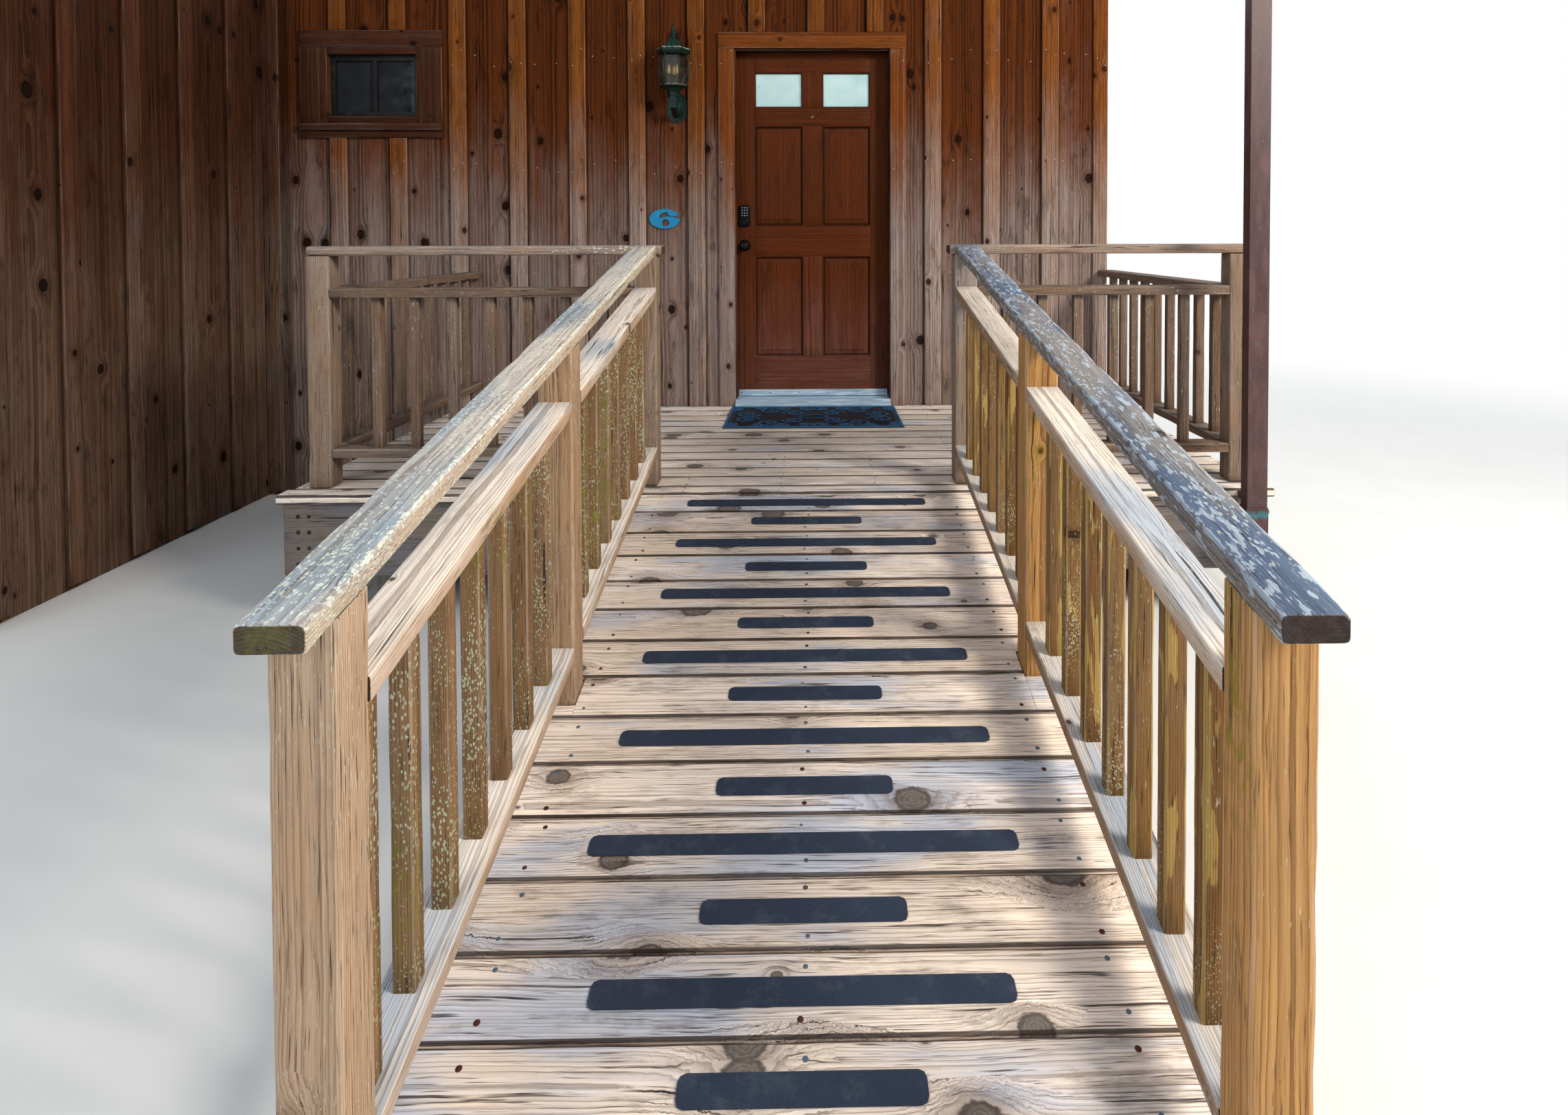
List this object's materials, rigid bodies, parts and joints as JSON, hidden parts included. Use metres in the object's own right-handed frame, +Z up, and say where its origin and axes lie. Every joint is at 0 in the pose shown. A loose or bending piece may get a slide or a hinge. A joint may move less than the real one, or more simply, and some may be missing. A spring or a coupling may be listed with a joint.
{
  "type": "timber cabin entrance with access ramp",
  "caption": "Weathered timber cabin entrance: plank access ramp and deck with baluster guards, board-and-batten walls, hinged panel door, small window, lantern and rain pipe.",
  "frame": {"origin": "on the level floor under the middle of the ramp, 324 mm up from the ramp's toe", "axes": "+Y runs up the ramp to the front wall, +X to the right as one walks up, +Z up"},
  "size_m": [5.08, 4.4781, 2.978],
  "materials": {
    "decking": "weathered, bare",
    "framing": "weathered, bare",
    "rail_wood": "weathered, silver-grey",
    "post_wood": "weathered, golden brown",
    "baluster_wood": "weathered, with lichen",
    "grip": "gritty",
    "concrete": "cast concrete, matt",
    "wall_wood": "rough-sawn, faded stain",
    "wing_wood": "rough-sawn, dark stain",
    "batten_wood": "rough-sawn, faded stain",
    "plate_wood": "sawn",
    "casing_wood": "rough-sawn, faded stain",
    "threshold_metal": "satin",
    "door_wood": "mahogany stain, satin",
    "frosted_glass": "frosted",
    "black_metal": "satin black",
    "hinge_metal": "dull",
    "window_frame": "satin",
    "window_pane": "clear",
    "verdigris": "dark verdigris",
    "lantern_pane": "clear, bevelled",
    "mat_rubber": "relief",
    "pipe_paint": "purple-brown paint, satin",
    "number_paint": "blue paint, satin"
  },
  "bodies": {
    "structure": {"ramp_planks": "decking", "ramp_grip_strips": "grip", "ramp_stringers": "framing", "ramp_sleepers": "framing", "ramp_left_posts": "post_wood", "ramp_right_posts": "post_wood", "ramp_left_handrail": "rail_wood", "ramp_right_handrail": "rail_wood", "ramp_left_balusters": "baluster_wood", "ramp_right_balusters": "baluster_wood", "deck_boards": "decking", "deck_edge_trim": "decking", "deck_fascia": "framing", "deck_joists": "framing", "deck_beam": "framing", "deck_piers": "concrete", "guard_left_posts": "post_wood", "guard_right_posts": "post_wood", "guard_left_handrail": "rail_wood", "guard_right_handrail": "rail_wood", "guard_left_balusters": "baluster_wood", "guard_right_balusters": "baluster_wood", "left_side_guard": "baluster_wood", "right_side_guard": "baluster_wood", "front_wall_base": "wall_wood", "front_wall_left": "wall_wood", "front_wall_right": "wall_wood", "front_wall_over_door": "wall_wood", "wing_wall": "wing_wood", "wall_battens": "batten_wood", "wall_top_plates": "plate_wood", "door_casing": "casing_wood", "door_jamb": "casing_wood", "door_threshold": "threshold_metal", "hinge_plates": "hinge_metal", "window_casing": "casing_wood", "window_sash": "window_frame", "window_glass": "window_pane", "lantern_bracket": "verdigris", "lantern_cage": "verdigris", "lantern_glass": "lantern_pane", "house_number": "number_paint", "door_mat": "mat_rubber", "rainwater_pipe": "pipe_paint"},
    "door": {"door_leaf": "door_wood", "door_panels": "door_wood", "door_glass": "frosted_glass", "door_knobs": "black_metal", "door_keypad": "black_metal", "door_peephole": "hinge_metal", "door_hinges": "hinge_metal", "door_sweep": "threshold_metal"}
  },
  "joints": [
    {"name": "door_hinge", "type": "hinge", "parent": "structure", "child": "door", "pos_m": [0.4895, 4.0938, 0.545], "axis": [0, 0, -1], "range_deg": [0, 100]}
  ]
}
